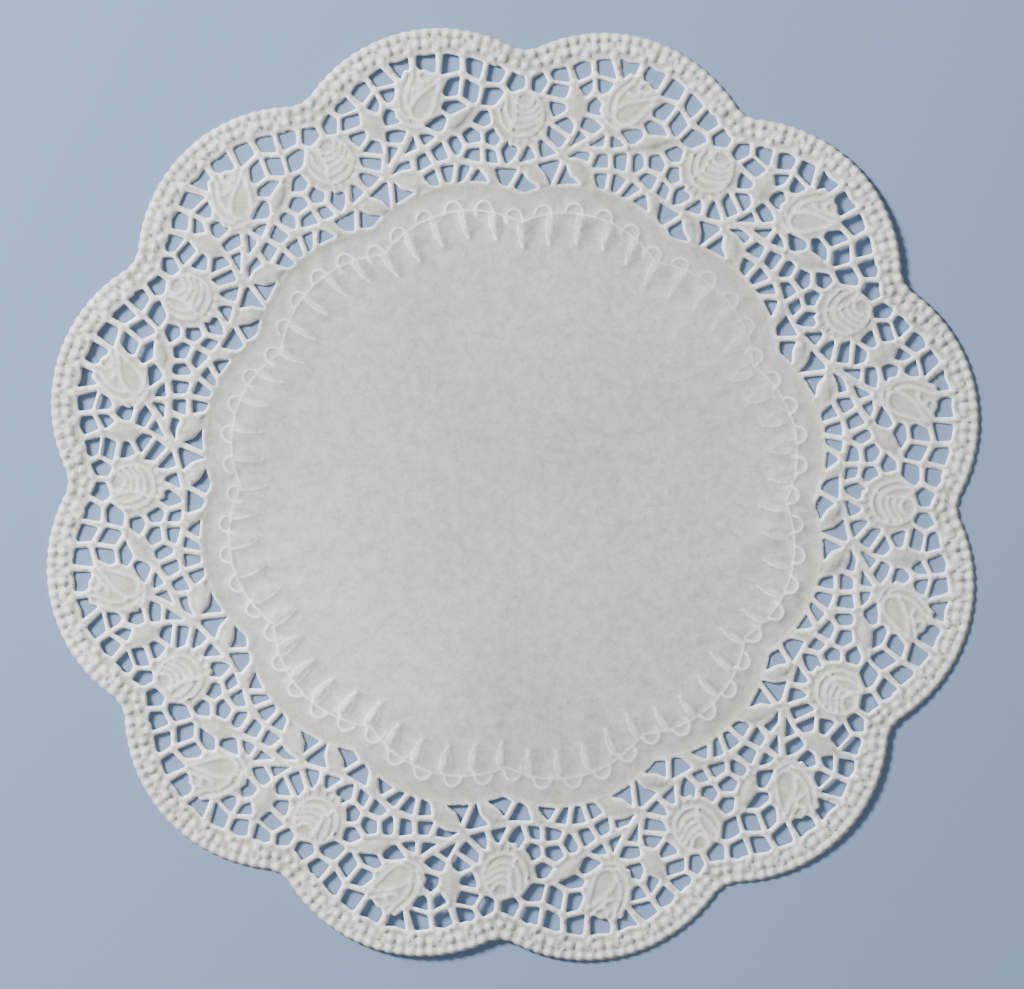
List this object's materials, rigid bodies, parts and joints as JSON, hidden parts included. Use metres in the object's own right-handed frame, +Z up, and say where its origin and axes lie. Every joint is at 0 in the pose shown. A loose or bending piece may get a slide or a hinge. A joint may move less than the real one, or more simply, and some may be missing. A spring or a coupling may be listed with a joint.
{
  "type": "paper doily",
  "caption": "Round lace paper doily, die-cut and embossed, with a lobed scalloped border, a lace ring of roses, buds, leaves and vines, and a plain centre, lying flat",
  "frame": {"origin": "middle of the doily, on the surface that it lies on", "axes": "+Z up through the sheet, +Y out through the tip of one lobe, lobes every 30 degrees"},
  "size_m": [0.36, 0.36, 0.0015],
  "materials": {
    "paper": "white uncoated embossed tissue paper, matte, slightly fibrous"
  },
  "bodies": {
    "root": {"doily": "paper"}
  },
  "joints": []
}
